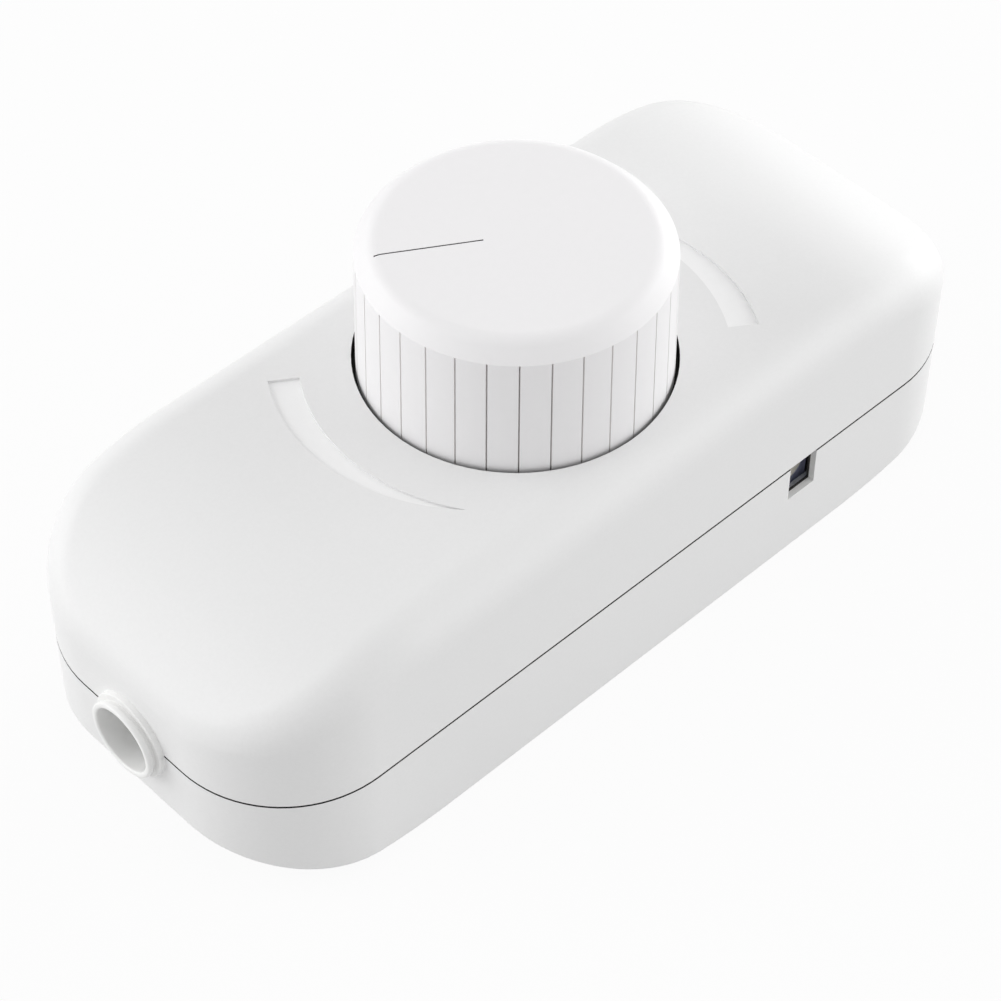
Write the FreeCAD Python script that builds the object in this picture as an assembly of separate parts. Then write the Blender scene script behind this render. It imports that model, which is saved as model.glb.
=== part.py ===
import FreeCAD, Part
import math
import os
from FreeCAD import Vector

# A rotary in-line cord dimmer, in millimetres. The cord runs along X and the knob turns about Z.
# The origin is the middle of the underside.

# Case
case_length = 100.0
case_width = 40.6
case_height = 28.5
parting_height = 12.8
corner_radius = 13.0
wall = 2.0
cover_edge_round = 4.4
cover_end_run = 20.2
cover_end_drop = 8.0
base_edge_round = 0.8
base_end_run = 22.0
base_end_rise = 4.6
inside_edge_round = 1.0

# Joint between the halves: a tongue on the base inside a rebate in the cover
parting_gap = 0.25
tongue_height = 1.6
tongue_thickness = 0.9
tongue_clearance = 0.1

# Knob
knob_diameter = 31.5
knob_height = 17.1
knob_sink = 1.5
knob_taper = 0.25
knob_rim_round = 2.4
knob_wall = 1.8
knob_crown = 2.3
knob_hub_diameter = 11.0
knob_rib_count = 6
knob_rib_thickness = 1.2
knob_rib_root = 0.5
knob_rib_step = 1.0
flute_count = 32
flute_width = 0.36
flute_depth = 0.45
flute_top_margin = 0.4
pointer_angle = 149.5
pointer_to_flute_angle = 8.4
pointer_start = 3.2
pointer_width = 0.22
pointer_depth = 0.35

# Round well that the knob sinks into
well_gap = 0.4
well_depth = 2.1
well_floor = 2.0

# Level arcs beside the knob
arc_inner_radius = 21.35
arc_end_width = 3.1
arc_middle_width = 2.1
arc_start_angle = 145.8
arc_end_angle = 213.5
arc_depth = 0.3

# Rotary control with switch
bushing_thread_diameter = 7.0
bushing_length = 6.5
bushing_chamfer = 0.3
control_diameter = 16.4
flange_thickness = 1.0
can_height = 6.5
can_sheet = 0.5
wafer_thickness = 1.0
wafer_tab_width = 13.0
wafer_tab_reach = 5.5
switch_height = 5.0
shaft_diameter = 6.0
shaft_flat_depth = 1.5
shaft_clearance = 0.03
rotor_diameter = 13.4
rotor_height = 2.0
running_gap = 0.3
ring_thickness = 0.6
ring_outer_diameter = 8.6
ring_groove_depth = 0.5
ring_mouth = 3.5
pin_width = 1.2
pin_thickness = 0.5
pin_spacing = 5.0
pin_edge_gap = 1.44
switch_pin_spacing = 8.0
switch_pin_offset = 3.0
pin_below_board = 1.2
washer_outer_diameter = 11.2
washer_thickness = 0.5
nut_across_flats = 10.0
nut_thickness = 2.2
nut_chamfer_angle = 30.0
thread_clearance = 0.03
hole_clearance = 0.1

# Cord entries
cord_bore = 7.2
bushing_drop = 0.5
lip_diameter = 8.5
lip_length = 0.6
lip_round = 0.25
neck_diameter = 8.0
neck_length = 0.4
shoulder_diameter = 9.4
shoulder_length = 0.6
inner_flange_diameter = 9.8
inner_flange_length = 1.0
sleeve_length = 2.0

# Tools that cut through a face start and end this far outside it
over_cut = 1.0
touch = 1e-6
rim_tolerance = 1e-3

# Tapping screws
screw_head_diameter = 5.4
screw_head_height = 1.7
screw_washer_height = 0.6
screw_washer_rim = 0.3
screw_dome_inset = 0.6
screw_dome_shoulder = 0.22
screw_dome_flat = 0.4
screw_dome_turn = 0.72
screw_shank_diameter = 2.6
screw_length = 9.2
screw_point = 2.4
cross_slot_width = 0.7
cross_slot_length = 2.9
cross_slot_depth = 1.0
screw_end_inset = 10.0
screw_side_inset = 6.0
screw_seat_height = 6.0
post_top_height = 9.0
post_diameter = 8.4
boss_diameter = 6.6
head_clearance = 0.3
pilot_clearance = 0.02
tip_clearance = 0.2

# Cord clamps
clamp_end_inset = 11.0
clamp_width = 6.0
clamp_half_span = 8.3
clamp_screw_offset = 5.9
clamp_post_diameter = 5.2
clamp_pad = 2.4
clamp_crown = 2.4
clamp_cheek_trim = 1.2
clamp_bore = 6.8
clamp_seat_above_axis = 0.6
saddle_width = 5.0

# Circuit board
board_thickness = 1.6
board_lift = 3.0
board_corner = 2.0
board_end_gap = 1.5
board_side_gap = 2.5
pillar_inset = 4.0
pillar_diameter = 5.0
board_screw_length = 5.0
board_screw_head_diameter = 4.2
board_screw_shank_diameter = 2.2
lead_radius = 0.35
lead_bend = 0.8
lead_clearance = 0.15

# Terminal blocks
terminal_depth = 8.0
terminal_pitch = 5.08
terminal_height = 10.0
terminal_end_gap = 1.0
terminal_chamfer = 2.0
wire_hole = 3.0
wire_hole_lift = 2.0
terminal_screw_diameter = 3.4
terminal_screw_slot = 0.7
terminal_screw_sink = 0.6
terminal_screw_clearance = 0.08

# Parts on the board
capacitor_size = (13.0, 6.0, 11.5)
capacitor_place = (-16.0, 9.2)
capacitor_round = 0.8
capacitor_lead_inset = 1.5
choke_place = (-16.0, -8.0)
choke_diameter = 9.5
choke_height = 10.0
choke_flange = 1.4
choke_core_diameter = 4.4
choke_winding_diameter = 8.4
winding_clearance = 0.05
fuse_terminal_gap = 1.8
fuse_side = 1.0
fuse_diameter = 8.0
fuse_height = 7.6
fuse_round = 0.8
fuse_lead_spacing = 5.08
resistor_place = (1.0, -9.0)
resistor_pitch = 2.6
resistor_count = 3
resistor_diameter = 2.2
resistor_length = 6.3
resistor_lead_span = 10.0
diac_place = (11.5, -7.5)
diac_diameter = 1.9
diac_length = 4.0
diac_lead_span = 7.5
axial_lift = 0.2
heat_sink_terminal_gap = 1.0
heat_sink_side = 7.0
heat_sink_width = 16.0
heat_sink_reach = 9.0
heat_sink_sheet = 1.5
heat_sink_height = 14.0
triac_width = 8.0
triac_height = 11.0
triac_thickness = 2.8
triac_lift = 2.0
triac_lead_pitch = 2.3
triac_hole_drop = 3.8
triac_screw_diameter = 2.9
triac_screw_head_diameter = 5.2
triac_screw_head_height = 1.8
triac_screw_tail = 0.6

# Level trimmer and its window
window_end_inset = 28.55
window_width = 3.9
window_height = 4.5
window_wall = 1.0
pocket_width = 9.0
trimmer_width = 6.6
trimmer_depth = 4.8
trimmer_height = 7.0
trimmer_wall_gap = 0.3
trimmer_lead_pitch = 2.2
trimmer_lead_edge_gap = 1.5
trimmer_lead_setback = 1.0
trimmer_rotor_diameter = 4.2
trimmer_rotor_proud = 0.4
trimmer_rotor_depth = 2.0
trimmer_rotor_clearance = 0.05
trimmer_slot_width = 0.7
trimmer_slot_depth = 0.7

# Places worked out from the sizes above
half_length = case_length / 2
half_width = case_width / 2
inner_half_width = half_width - wall
cord_axis = parting_height - bushing_drop
knob_radius = knob_diameter / 2
knob_bottom = case_height - knob_sink
knob_top = knob_bottom + knob_height
well_radius = knob_radius + well_gap
well_level = case_height - well_depth
panel_under = well_level - well_floor
bushing_top = panel_under + bushing_length
can_top = panel_under - flange_thickness
can_bottom = can_top - can_height
wafer_bottom = can_bottom - wafer_thickness
switch_bottom = wafer_bottom - switch_height
control_radius = control_diameter / 2
shaft_radius = shaft_diameter / 2
ring_bottom = bushing_top + running_gap
shaft_top = knob_top - knob_crown - running_gap
board_bottom = wall + board_lift
board_top = board_bottom + board_thickness
pin_tip = board_bottom - pin_below_board
screw_x = half_length - screw_end_inset
screw_y = half_width - screw_side_inset
clamp_x = half_length - clamp_end_inset
clamp_seat = cord_axis + clamp_seat_above_axis
board_half_length = clamp_x - saddle_width / 2 - board_end_gap
board_half_width = inner_half_width - board_side_gap
pillar_x = board_half_length - pillar_inset
pillar_y = board_half_width - pillar_inset
terminal_x = board_half_length - terminal_end_gap - terminal_depth / 2
terminal_half_width = terminal_pitch
terminal_inner_face = terminal_x - terminal_depth / 2
fuse_place = (-(terminal_inner_face - fuse_terminal_gap - fuse_diameter / 2), fuse_side)
heat_sink_place = (terminal_inner_face - heat_sink_terminal_gap - heat_sink_reach, heat_sink_side)
terminal_top = board_top + terminal_height
trimmer_front = -(inner_half_width - trimmer_wall_gap)
window_centre = half_length - window_end_inset
window_bottom = parting_height - window_height
window_axis = parting_height - window_height / 2


def drum(radius, bottom, top, x=0.0, y=0.0):
    return Part.makeCylinder(radius, top - bottom, Vector(x, y, bottom))


def rod(radius, start, end, y, z):
    return Part.makeCylinder(radius, end - start, Vector(start, y, z), Vector(1, 0, 0))


def brick(x_from, x_to, y_from, y_to, bottom, top):
    return Part.makeBox(x_to - x_from, y_to - y_from, top - bottom, Vector(x_from, y_from, bottom))


def turned(points):
    # Points are given as (radius, height) in the XZ plane and turned about the upright axis
    wire = Part.makePolygon([Vector(r, 0, h) for r, h in points + points[:1]])
    return Part.Face(wire).revolve(Vector(0, 0, 0), Vector(0, 0, 1), 360)


def outline(inset, level):
    # Plan of the case, moved in by an inset
    x = half_length - inset
    y = half_width - inset
    r = corner_radius - inset
    bend = r * (1 - math.sqrt(0.5))
    edges = []
    for sx, sy in ((1, -1), (1, 1), (-1, 1), (-1, -1)):
        along_x = Vector(sx * (x - r), sy * y, level)
        along_y = Vector(sx * x, sy * (y - r), level)
        middle = Vector(sx * (x - bend), sy * (y - bend), level)
        first, last = (along_x, along_y) if sx * sy < 0 else (along_y, along_x)
        edges.append((first, middle, last))
    wire = []
    for index, (first, middle, last) in enumerate(edges):
        wire.append(Part.Arc(first, middle, last).toShape())
        wire.append(Part.makeLine(last, edges[(index + 1) % len(edges)][0]))
    return Part.Wire(wire)


def prism(inset, bottom, top):
    return Part.Face(outline(inset, bottom)).extrude(Vector(0, 0, top - bottom))


def bend_radius(run, rise):
    return (run * run + rise * rise) / (2 * rise)


def side_view(inset):
    # The case seen from its long side, moved in by an inset: flat above and below in the middle,
    # and curving in towards both ends
    reach = half_length + over_cut
    loop = []
    for level, run, rise, way in ((case_height, cover_end_run, cover_end_drop, -1),
                                  (0, base_end_run, base_end_rise, 1)):
        flat = half_length - run
        bend = bend_radius(run, rise)
        centre = level + way * bend

        def at(distance):
            drop = math.sqrt((bend - inset) ** 2 - distance ** 2)
            return flat + distance, centre - way * drop

        loop.append([at(0), at((reach - flat) / 2), at(reach - flat)])

    def point(place, side):
        return Vector(side * place[0], -half_width - over_cut, place[1])

    top, bottom = loop
    edges = [Part.makeLine(point(bottom[0], -1), point(bottom[0], 1)),
             Part.Arc(*[point(place, 1) for place in bottom]).toShape(),
             Part.makeLine(point(bottom[2], 1), point(top[2], 1)),
             Part.Arc(*[point(place, 1) for place in reversed(top)]).toShape(),
             Part.makeLine(point(top[0], 1), point(top[0], -1)),
             Part.Arc(*[point(place, -1) for place in top]).toShape(),
             Part.makeLine(point(top[2], -1), point(bottom[2], -1)),
             Part.Arc(*[point(place, -1) for place in reversed(bottom)]).toShape()]
    return Part.Face(Part.Wire(edges)).extrude(Vector(0, case_width + 2 * over_cut, 0))


def plan_depth(point):
    # How far a point lies inside the plan outline
    along = abs(point.x) - half_length + corner_radius
    across = abs(point.y) - half_width + corner_radius
    if along > 0 and across > 0:
        return corner_radius - math.hypot(along, across)
    return min(half_length - abs(point.x), half_width - abs(point.y))


def case_block(inset, bottom, top, rim_low, rim_high, rounding):
    # A level slice of the case form, with its rim between two heights rounded
    block = prism(inset, bottom, top).common(side_view(inset))
    rim = []
    for edge in block.Edges:
        first, last = edge.ParameterRange
        middle = edge.valueAt((first + last) / 2)
        upright = edge.BoundBox.ZLength > touch and math.hypot(edge.BoundBox.XLength,
                                                                edge.BoundBox.YLength) < touch
        on_rim = abs(plan_depth(middle) - inset) < rim_tolerance
        if on_rim and not upright and rim_low < middle.z < rim_high:
            rim.append(edge)
    return block.makeFillet(rounding, rim)


def corners(x, y):
    return [(sx * x, sy * y) for sx in (-1, 1) for sy in (-1, 1)]


def joined(first, others):
    return first.fuse(others).removeSplitter()


def save(name, *solids):
    shape = Part.makeCompound(list(solids)) if len(solids) > 1 else solids[0].Solids[0]
    shape.exportStep(os.path.join("parts", name + ".step"))
    print(name, len(solids), "solid", round(shape.Volume, 1), "mm3", "" if shape.isValid() else "not valid")


def bushing_holes():
    # The hole in each end wall, for the neck of a cord bushing
    radius = neck_diameter / 2 + hole_clearance
    outside = half_length + over_cut
    inside = half_length - wall - over_cut
    return [rod(radius, -outside, -inside, 0, cord_axis), rod(radius, inside, outside, 0, cord_axis)]


def tapping_screw(head_diameter, shank_diameter, length):
    # Washer head up, tip down, with the seat of the head at the origin
    head = head_diameter / 2
    shank = shank_diameter / 2
    dome = head - screw_dome_inset
    points = [(0, -length), (shank, screw_point - length), (shank, 0), (head, 0),
              (head, screw_washer_rim), (dome, screw_washer_height),
              (dome * screw_dome_turn, screw_head_height - screw_dome_shoulder),
              (dome * screw_dome_flat, screw_head_height), (0, screw_head_height)]
    screw = turned(points)
    slot = cross_slot_length / 2
    half = cross_slot_width / 2
    floor = screw_head_height - cross_slot_depth
    cross = [brick(-slot, slot, -half, half, floor, screw_head_height),
             brick(-half, half, -slot, slot, floor, screw_head_height)]
    return screw.cut(cross)


def base_tray():
    middle = parting_height - over_cut
    outer = case_block(0, -over_cut, parting_height, -over_cut, middle, base_edge_round)
    tongue_outer = wall - tongue_thickness
    tongue = prism(tongue_outer, parting_height - wall, parting_height + tongue_height)
    above = parting_height + tongue_height + over_cut
    cavity = case_block(wall, -over_cut, above, -over_cut, middle, inside_edge_round)
    tray = joined(outer, [tongue]).cut(cavity)

    floor = wall / 2
    additions = [drum(post_diameter / 2, floor, post_top_height, x, y) for x, y in corners(screw_x, screw_y)]
    additions += [drum(clamp_post_diameter / 2, floor, clamp_seat, x, y)
                  for x, y in corners(clamp_x, clamp_screw_offset)]
    additions += [drum(pillar_diameter / 2, floor, board_bottom, x, y)
                  for x, y in corners(pillar_x, pillar_y)]
    saddle_top = cord_axis - clamp_bore / 4
    for side in (-1, 1):
        x = side * clamp_x
        additions.append(brick(x - saddle_width / 2, x + saddle_width / 2,
                               -clamp_screw_offset, clamp_screw_offset, floor, saddle_top))
    keep = outer.fuse(prism(0, middle, case_height))
    tray = joined(tray, [piece.common(keep) for piece in additions])

    head_hole = screw_head_diameter / 2 + head_clearance
    shank_hole = screw_shank_diameter / 2 + head_clearance
    cuts = bushing_holes()
    for x, y in corners(screw_x, screw_y):
        cuts.append(drum(head_hole, -over_cut, screw_seat_height, x, y))
        cuts.append(drum(shank_hole, screw_seat_height, post_top_height + over_cut, x, y))
    for x, y in corners(clamp_x, clamp_screw_offset):
        tip = clamp_seat + clamp_pad - screw_length
        radius = screw_shank_diameter / 2 + pilot_clearance
        cuts.append(drum(radius, tip - tip_clearance, clamp_seat + over_cut, x, y))
    for x, y in ((pillar_x, pillar_y), (-pillar_x, -pillar_y)):
        radius = board_screw_shank_diameter / 2 + pilot_clearance
        tip = board_top - board_screw_length
        cuts.append(drum(radius, tip - tip_clearance, board_bottom + over_cut, x, y))
    reach = clamp_x + saddle_width
    cuts.append(rod(clamp_bore / 2, -reach, -clamp_x + saddle_width, 0, cord_axis))
    cuts.append(rod(clamp_bore / 2, clamp_x - saddle_width, reach, 0, cord_axis))
    inside = -inner_half_width + over_cut
    cuts.append(brick(window_centre - window_width / 2, window_centre + window_width / 2,
                      -half_width - over_cut, inside, window_bottom, above))
    cuts.append(brick(window_centre - pocket_width / 2, window_centre + pocket_width / 2,
                      -half_width + window_wall, inside, window_bottom - window_wall, above))
    return tray.cut(cuts)


def level_arc():
    # One tapered arc: the inner edge is round the knob, the outer edge runs in to meet it
    level = case_height - arc_depth

    def at(radius, angle):
        turn = math.radians(angle)
        return Vector(radius * math.cos(turn), radius * math.sin(turn), level)

    middle_angle = (arc_start_angle + arc_end_angle) / 2
    inner = Part.Arc(at(arc_inner_radius, arc_end_angle), at(arc_inner_radius, middle_angle),
                     at(arc_inner_radius, arc_start_angle)).toShape()
    corner = at(arc_inner_radius + arc_end_width, arc_start_angle)
    end = Part.makeLine(at(arc_inner_radius, arc_start_angle), corner)
    outer = Part.Arc(corner,
                     at(arc_inner_radius + arc_middle_width, middle_angle),
                     at(arc_inner_radius, arc_end_angle)).toShape()
    return Part.Face(Part.Wire([inner, end, outer])).extrude(Vector(0, 0, arc_depth + over_cut))


def top_cover():
    cover_bottom = parting_height + parting_gap
    above = case_height + over_cut
    outer = case_block(0, cover_bottom, above, cover_bottom + over_cut, above, cover_edge_round)
    cavity = case_block(wall, parting_height, above, cover_bottom + over_cut, above, cover_edge_round - wall)
    shell = outer.cut(cavity)
    rebate = prism(wall - tongue_thickness - tongue_clearance, parting_height, parting_height + tongue_height)
    shell = shell.cut(rebate)

    well_body = drum(well_radius + wall, panel_under, case_height - wall / 2).common(outer)
    bosses = [drum(boss_diameter / 2, post_top_height, case_height, x, y)
              for x, y in corners(screw_x, screw_y)]
    below = brick(-half_length, half_length, -half_width, half_width, 0, cover_bottom + over_cut)
    keep = outer.fuse(below)
    shell = shell.fuse([well_body] + [boss.common(keep) for boss in bosses])

    cuts = bushing_holes()
    cuts.append(drum(well_radius, well_level, case_height + over_cut))
    control_hole = bushing_thread_diameter / 2 + hole_clearance
    cuts.append(drum(control_hole, panel_under - over_cut, well_level + over_cut))
    for x, y in corners(screw_x, screw_y):
        tip = screw_seat_height + screw_length + tip_clearance
        cuts.append(drum(screw_shank_diameter / 2 + pilot_clearance, post_top_height - over_cut, tip, x, y))
    arc = level_arc()
    opposite = arc.copy()
    opposite.rotate(Vector(0, 0, 0), Vector(0, 0, 1), 180)
    cuts += [arc, opposite]
    return shell.cut(cuts)


def cord_bushing(side):
    bore = cord_bore / 2
    lip = lip_diameter / 2
    neck = neck_diameter / 2
    shoulder = shoulder_diameter / 2
    flange = inner_flange_diameter / 2
    # Heights run outwards from the outer face of the end wall
    groove_top = shoulder_length + neck_length
    rim = groove_top + lip_length
    flange_back = -wall - inner_flange_length
    sleeve_end = flange_back - sleeve_length
    bushing = turned([(bore, sleeve_end), (neck, sleeve_end), (neck, flange_back), (flange, flange_back),
                      (flange, -wall), (neck, -wall), (neck, 0), (shoulder, 0), (shoulder, shoulder_length),
                      (neck, shoulder_length), (neck, groove_top), (lip, groove_top), (lip, rim),
                      (bore, rim)])
    rim_edges = [edge for edge in bushing.Edges if edge.BoundBox.ZMin > rim - touch]
    bushing = bushing.makeFillet(lip_round, rim_edges)
    bushing.Placement = FreeCAD.Placement(Vector(side * half_length, 0, cord_axis),
                                          FreeCAD.Rotation(Vector(0, 0, 1), Vector(side, 0, 0)))
    return bushing


def case_screws():
    screws = []
    for x, y in corners(screw_x, screw_y):
        screw = tapping_screw(screw_head_diameter, screw_shank_diameter, screw_length)
        screw.rotate(Vector(0, 0, 0), Vector(1, 0, 0), 180)
        screw.translate(Vector(x, y, screw_seat_height))
        screws.append(screw)
    return screws


def d_section(radius, bottom, top):
    # Round bar with one flat, which faces the pointer
    bar = drum(radius, bottom, top)
    flat = radius - shaft_flat_depth
    bar = bar.cut(brick(flat, 2 * radius, -2 * radius, 2 * radius, bottom - over_cut, top + over_cut))
    bar.rotate(Vector(0, 0, 0), Vector(0, 0, 1), pointer_angle)
    return bar


def knob():
    top_radius = knob_radius - knob_taper
    body = turned([(0, knob_bottom), (knob_radius, knob_bottom), (top_radius, knob_top), (0, knob_top)])
    rim = [edge for edge in body.Edges
           if edge.BoundBox.ZMin > knob_top - touch and edge.BoundBox.YLength > touch]
    body = body.makeFillet(knob_rim_round, rim)

    hub_bottom = ring_bottom + ring_thickness + running_gap
    roof = knob_top - knob_crown
    hollow = drum(top_radius - knob_wall, knob_bottom - over_cut, roof)
    hub = drum(knob_hub_diameter / 2, hub_bottom, roof)
    ribs = []
    for index in range(knob_rib_count):
        rib = brick(knob_hub_diameter / 2 - knob_rib_root, top_radius - knob_wall + knob_rib_root,
                    -knob_rib_thickness / 2, knob_rib_thickness / 2, hub_bottom + knob_rib_step, roof)
        rib.rotate(Vector(0, 0, 0), Vector(0, 0, 1), pointer_angle + (index + 0.5) * 360 / knob_rib_count)
        ribs.append(rib)
    body = joined(body.cut(hollow), [hub] + ribs)

    flute_top = knob_top - knob_rim_round - flute_top_margin
    cuts = [d_section(shaft_radius + shaft_clearance, hub_bottom - over_cut, shaft_top + running_gap / 2)]
    # A flute is a V whose mouth on the mean radius has the flute's width
    mean_radius = knob_radius - knob_taper / 2
    low = knob_bottom - over_cut
    root = Vector(mean_radius - flute_depth, 0, low)
    mouth = [Vector(mean_radius + flute_depth, side * flute_width, low) for side in (-1, 1)]
    flute = Part.Face(Part.makePolygon([root] + mouth + [root]))
    flute = flute.extrude(Vector(0, 0, flute_top - low))
    for index in range(flute_count):
        turn = pointer_angle + pointer_to_flute_angle + index * 360 / flute_count
        cuts.append(flute.rotated(Vector(0, 0, 0), Vector(0, 0, 1), turn))
    pointer = brick(pointer_start, knob_radius + over_cut, -pointer_width / 2, pointer_width / 2,
                    knob_top - pointer_depth, knob_top + over_cut)
    pointer.rotate(Vector(0, 0, 0), Vector(0, 0, 1), pointer_angle)
    return body.cut(cuts + [pointer])


def pot_shaft():
    bottom = can_bottom + running_gap
    flat_bottom = ring_bottom + ring_thickness + running_gap
    shaft = joined(drum(shaft_radius, bottom, flat_bottom), [d_section(shaft_radius, flat_bottom, shaft_top)])
    ring_top = ring_bottom + ring_thickness
    groove = drum(shaft_radius + over_cut, ring_bottom, ring_top)
    core = drum(shaft_radius - ring_groove_depth, ring_bottom - over_cut, ring_top + over_cut)
    return shaft.cut(groove.cut(core))


def pot_rotor():
    top = can_top - running_gap
    disc = drum(rotor_diameter / 2, top - rotor_height, top)
    return disc.cut(drum(shaft_radius + shaft_clearance, top - rotor_height - over_cut, top + over_cut))


def shaft_ring():
    inner = shaft_radius - ring_groove_depth + shaft_clearance
    top = ring_bottom + ring_thickness - shaft_clearance
    ring = drum(ring_outer_diameter / 2, ring_bottom + shaft_clearance, top)
    low = ring_bottom - over_cut
    high = top + over_cut
    opening = brick(0, ring_outer_diameter, -ring_mouth / 2, ring_mouth / 2, low, high)
    return ring.cut([drum(inner, low, high), opening])


def pot_bushing():
    flange = drum(control_radius, can_top, panel_under)
    tube = drum(bushing_thread_diameter / 2, can_top, bushing_top)
    end = [edge for edge in tube.Edges if edge.BoundBox.ZMin > bushing_top - touch]
    tube = tube.makeChamfer(bushing_chamfer, end)
    bore = drum(shaft_radius + shaft_clearance, can_top - over_cut, bushing_top + over_cut)
    return joined(flange, [tube]).cut(bore)


def pot_can():
    return drum(control_radius, can_bottom, can_top).cut(
        drum(control_radius - can_sheet, can_bottom - over_cut, can_top + over_cut))


def pot_wafer():
    reach = control_radius + wafer_tab_reach
    tab = brick(-wafer_tab_width / 2, wafer_tab_width / 2, 0, reach, wafer_bottom, can_bottom)
    return joined(drum(control_radius, wafer_bottom, can_bottom), [tab])


def flat_pin(x, y, top):
    half = pin_thickness / 2
    return brick(x - pin_width / 2, x + pin_width / 2, y - half, y + half, pin_tip, top)


def pot_pin_places():
    y = control_radius + wafer_tab_reach - pin_edge_gap
    return [(step * pin_spacing, y) for step in (-1, 0, 1)]


def switch_pin_places():
    return [(step * switch_pin_spacing / 2, -switch_pin_offset) for step in (-1, 1)]


def pot_washer():
    top = well_level + washer_thickness
    hole = drum(bushing_thread_diameter / 2 + hole_clearance, well_level - over_cut, top + over_cut)
    return drum(washer_outer_diameter / 2, well_level, top).cut(hole)


def pot_nut():
    bottom = well_level + washer_thickness
    top = bottom + nut_thickness
    corner = nut_across_flats / math.sqrt(3)
    points = [Vector(corner * math.cos(math.radians(60 * k)), corner * math.sin(math.radians(60 * k)), bottom)
              for k in range(7)]
    hexagon = Part.Face(Part.makePolygon(points)).extrude(Vector(0, 0, nut_thickness))
    edge = nut_across_flats / 2
    drop = (corner - edge) * math.tan(math.radians(nut_chamfer_angle))
    blank = turned([(0, bottom), (edge, bottom), (corner, bottom + drop), (corner, top - drop), (edge, top),
                    (0, top)])
    hole = drum(bushing_thread_diameter / 2 + thread_clearance, bottom - over_cut, top + over_cut)
    return hexagon.common(blank).cut(hole)


def cord_clamp(side):
    # A bridge over the cord: two pads on the posts and an arched crown between them
    crown = clamp_bore / 2 + clamp_crown
    pads = brick(-clamp_width / 2, clamp_width / 2, -clamp_half_span, clamp_half_span, clamp_seat,
                 clamp_seat + clamp_pad)
    arch = rod(crown, -clamp_width / 2, clamp_width / 2, 0, cord_axis)
    cheek = crown - clamp_cheek_trim
    arch = arch.common(brick(-clamp_width, clamp_width, -cheek, cheek, clamp_seat, cord_axis + 2 * crown))
    inner = rod(clamp_bore / 2, -clamp_width, clamp_width, 0, cord_axis)
    pad_top = clamp_seat + clamp_pad
    cuts = [inner]
    for y in (-clamp_screw_offset, clamp_screw_offset):
        cuts.append(drum(screw_shank_diameter / 2 + hole_clearance, clamp_seat - over_cut, pad_top, 0, y))
        cuts.append(drum(screw_head_diameter / 2 + hole_clearance, pad_top, cord_axis + 2 * crown, 0, y))
    clamp = joined(pads, [arch]).cut(cuts)
    clamp.translate(Vector(side * clamp_x, 0, 0))
    return clamp


def clamp_screws():
    screws = []
    for x, y in corners(clamp_x, clamp_screw_offset):
        screw = tapping_screw(screw_head_diameter, screw_shank_diameter, screw_length)
        screw.translate(Vector(x, y, clamp_seat + clamp_pad))
        screws.append(screw)
    return screws


def board_screws():
    screws = []
    for x, y in ((pillar_x, pillar_y), (-pillar_x, -pillar_y)):
        screw = tapping_screw(board_screw_head_diameter, board_screw_shank_diameter, board_screw_length)
        screw.translate(Vector(x, y, board_top))
        screws.append(screw)
    return screws


def round_leads(places):
    return [drum(lead_radius, pin_tip, board_top + lead_radius, x, y) for x, y in places]


def terminal_lead_places(side):
    return [(side * terminal_x, step * terminal_pitch / 2) for step in (-1, 1)]


def terminal(side):
    back = -terminal_depth / 2
    front = terminal_depth / 2
    profile = Part.makePolygon([Vector(back, 0, board_top), Vector(front, 0, board_top),
                                Vector(front, 0, terminal_top - terminal_chamfer),
                                Vector(front - terminal_chamfer, 0, terminal_top),
                                Vector(back, 0, terminal_top), Vector(back, 0, board_top)])
    block = Part.Face(profile).extrude(Vector(0, 2 * terminal_half_width, 0))
    block.translate(Vector(0, -terminal_half_width, 0))
    cuts = []
    for step in (-1, 1):
        y = step * terminal_pitch / 2
        radius = terminal_screw_diameter / 2 + terminal_screw_clearance
        bottom = board_top + wire_hole_lift
        cuts.append(drum(radius, bottom + wire_hole, terminal_top + over_cut, 0, y))
        cuts.append(brick(-wire_hole / 2, front + over_cut, y - wire_hole / 2, y + wire_hole / 2, bottom,
                          bottom + wire_hole))
    block = block.cut(cuts)
    block.rotate(Vector(0, 0, 0), Vector(0, 0, 1), 0 if side > 0 else 180)
    block.translate(Vector(side * terminal_x, 0, 0))
    return joined(block, round_leads(terminal_lead_places(side)))


def terminal_screws():
    screws = []
    top = terminal_top - terminal_screw_sink
    bottom = board_top + wire_hole_lift + wire_hole
    half = terminal_screw_slot / 2
    for x, y in corners(terminal_x, terminal_pitch / 2):
        radius = terminal_screw_diameter / 2
        screw = drum(radius, bottom, top, x, y)
        slot = brick(x - 2 * radius, x + 2 * radius, y - half, y + half, top - terminal_screw_slot,
                     top + over_cut)
        screws.append(screw.cut(slot))
    return screws


def capacitor_leads():
    x, y = capacitor_place
    return [(x + step * (capacitor_size[0] / 2 - capacitor_lead_inset), y) for step in (-1, 1)]


def film_capacitor():
    length, width, height = capacitor_size
    x, y = capacitor_place
    box = brick(x - length / 2, x + length / 2, y - width / 2, y + width / 2, board_top, board_top + height)
    upright = [edge for edge in box.Edges if edge.BoundBox.ZLength > height / 2]
    return joined(box.makeFillet(capacitor_round, upright), round_leads(capacitor_leads()))


def choke_leads():
    x, y = choke_place
    return [(x, y + step * choke_core_diameter / 2) for step in (-1, 1)]


def choke_core():
    x, y = choke_place
    low = board_top + choke_flange
    high = board_top + choke_height - choke_flange
    flange = choke_diameter / 2
    spool = joined(drum(flange, board_top, low, x, y), [drum(choke_core_diameter / 2, low, high, x, y),
                                                         drum(flange, high, board_top + choke_height, x, y)])
    return joined(spool, round_leads(choke_leads()))


def choke_winding():
    x, y = choke_place
    low = board_top + choke_flange
    high = board_top + choke_height - choke_flange
    return drum(choke_winding_diameter / 2, low, high, x, y).cut(
        drum(choke_core_diameter / 2 + winding_clearance, low - over_cut, high + over_cut, x, y))


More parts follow.
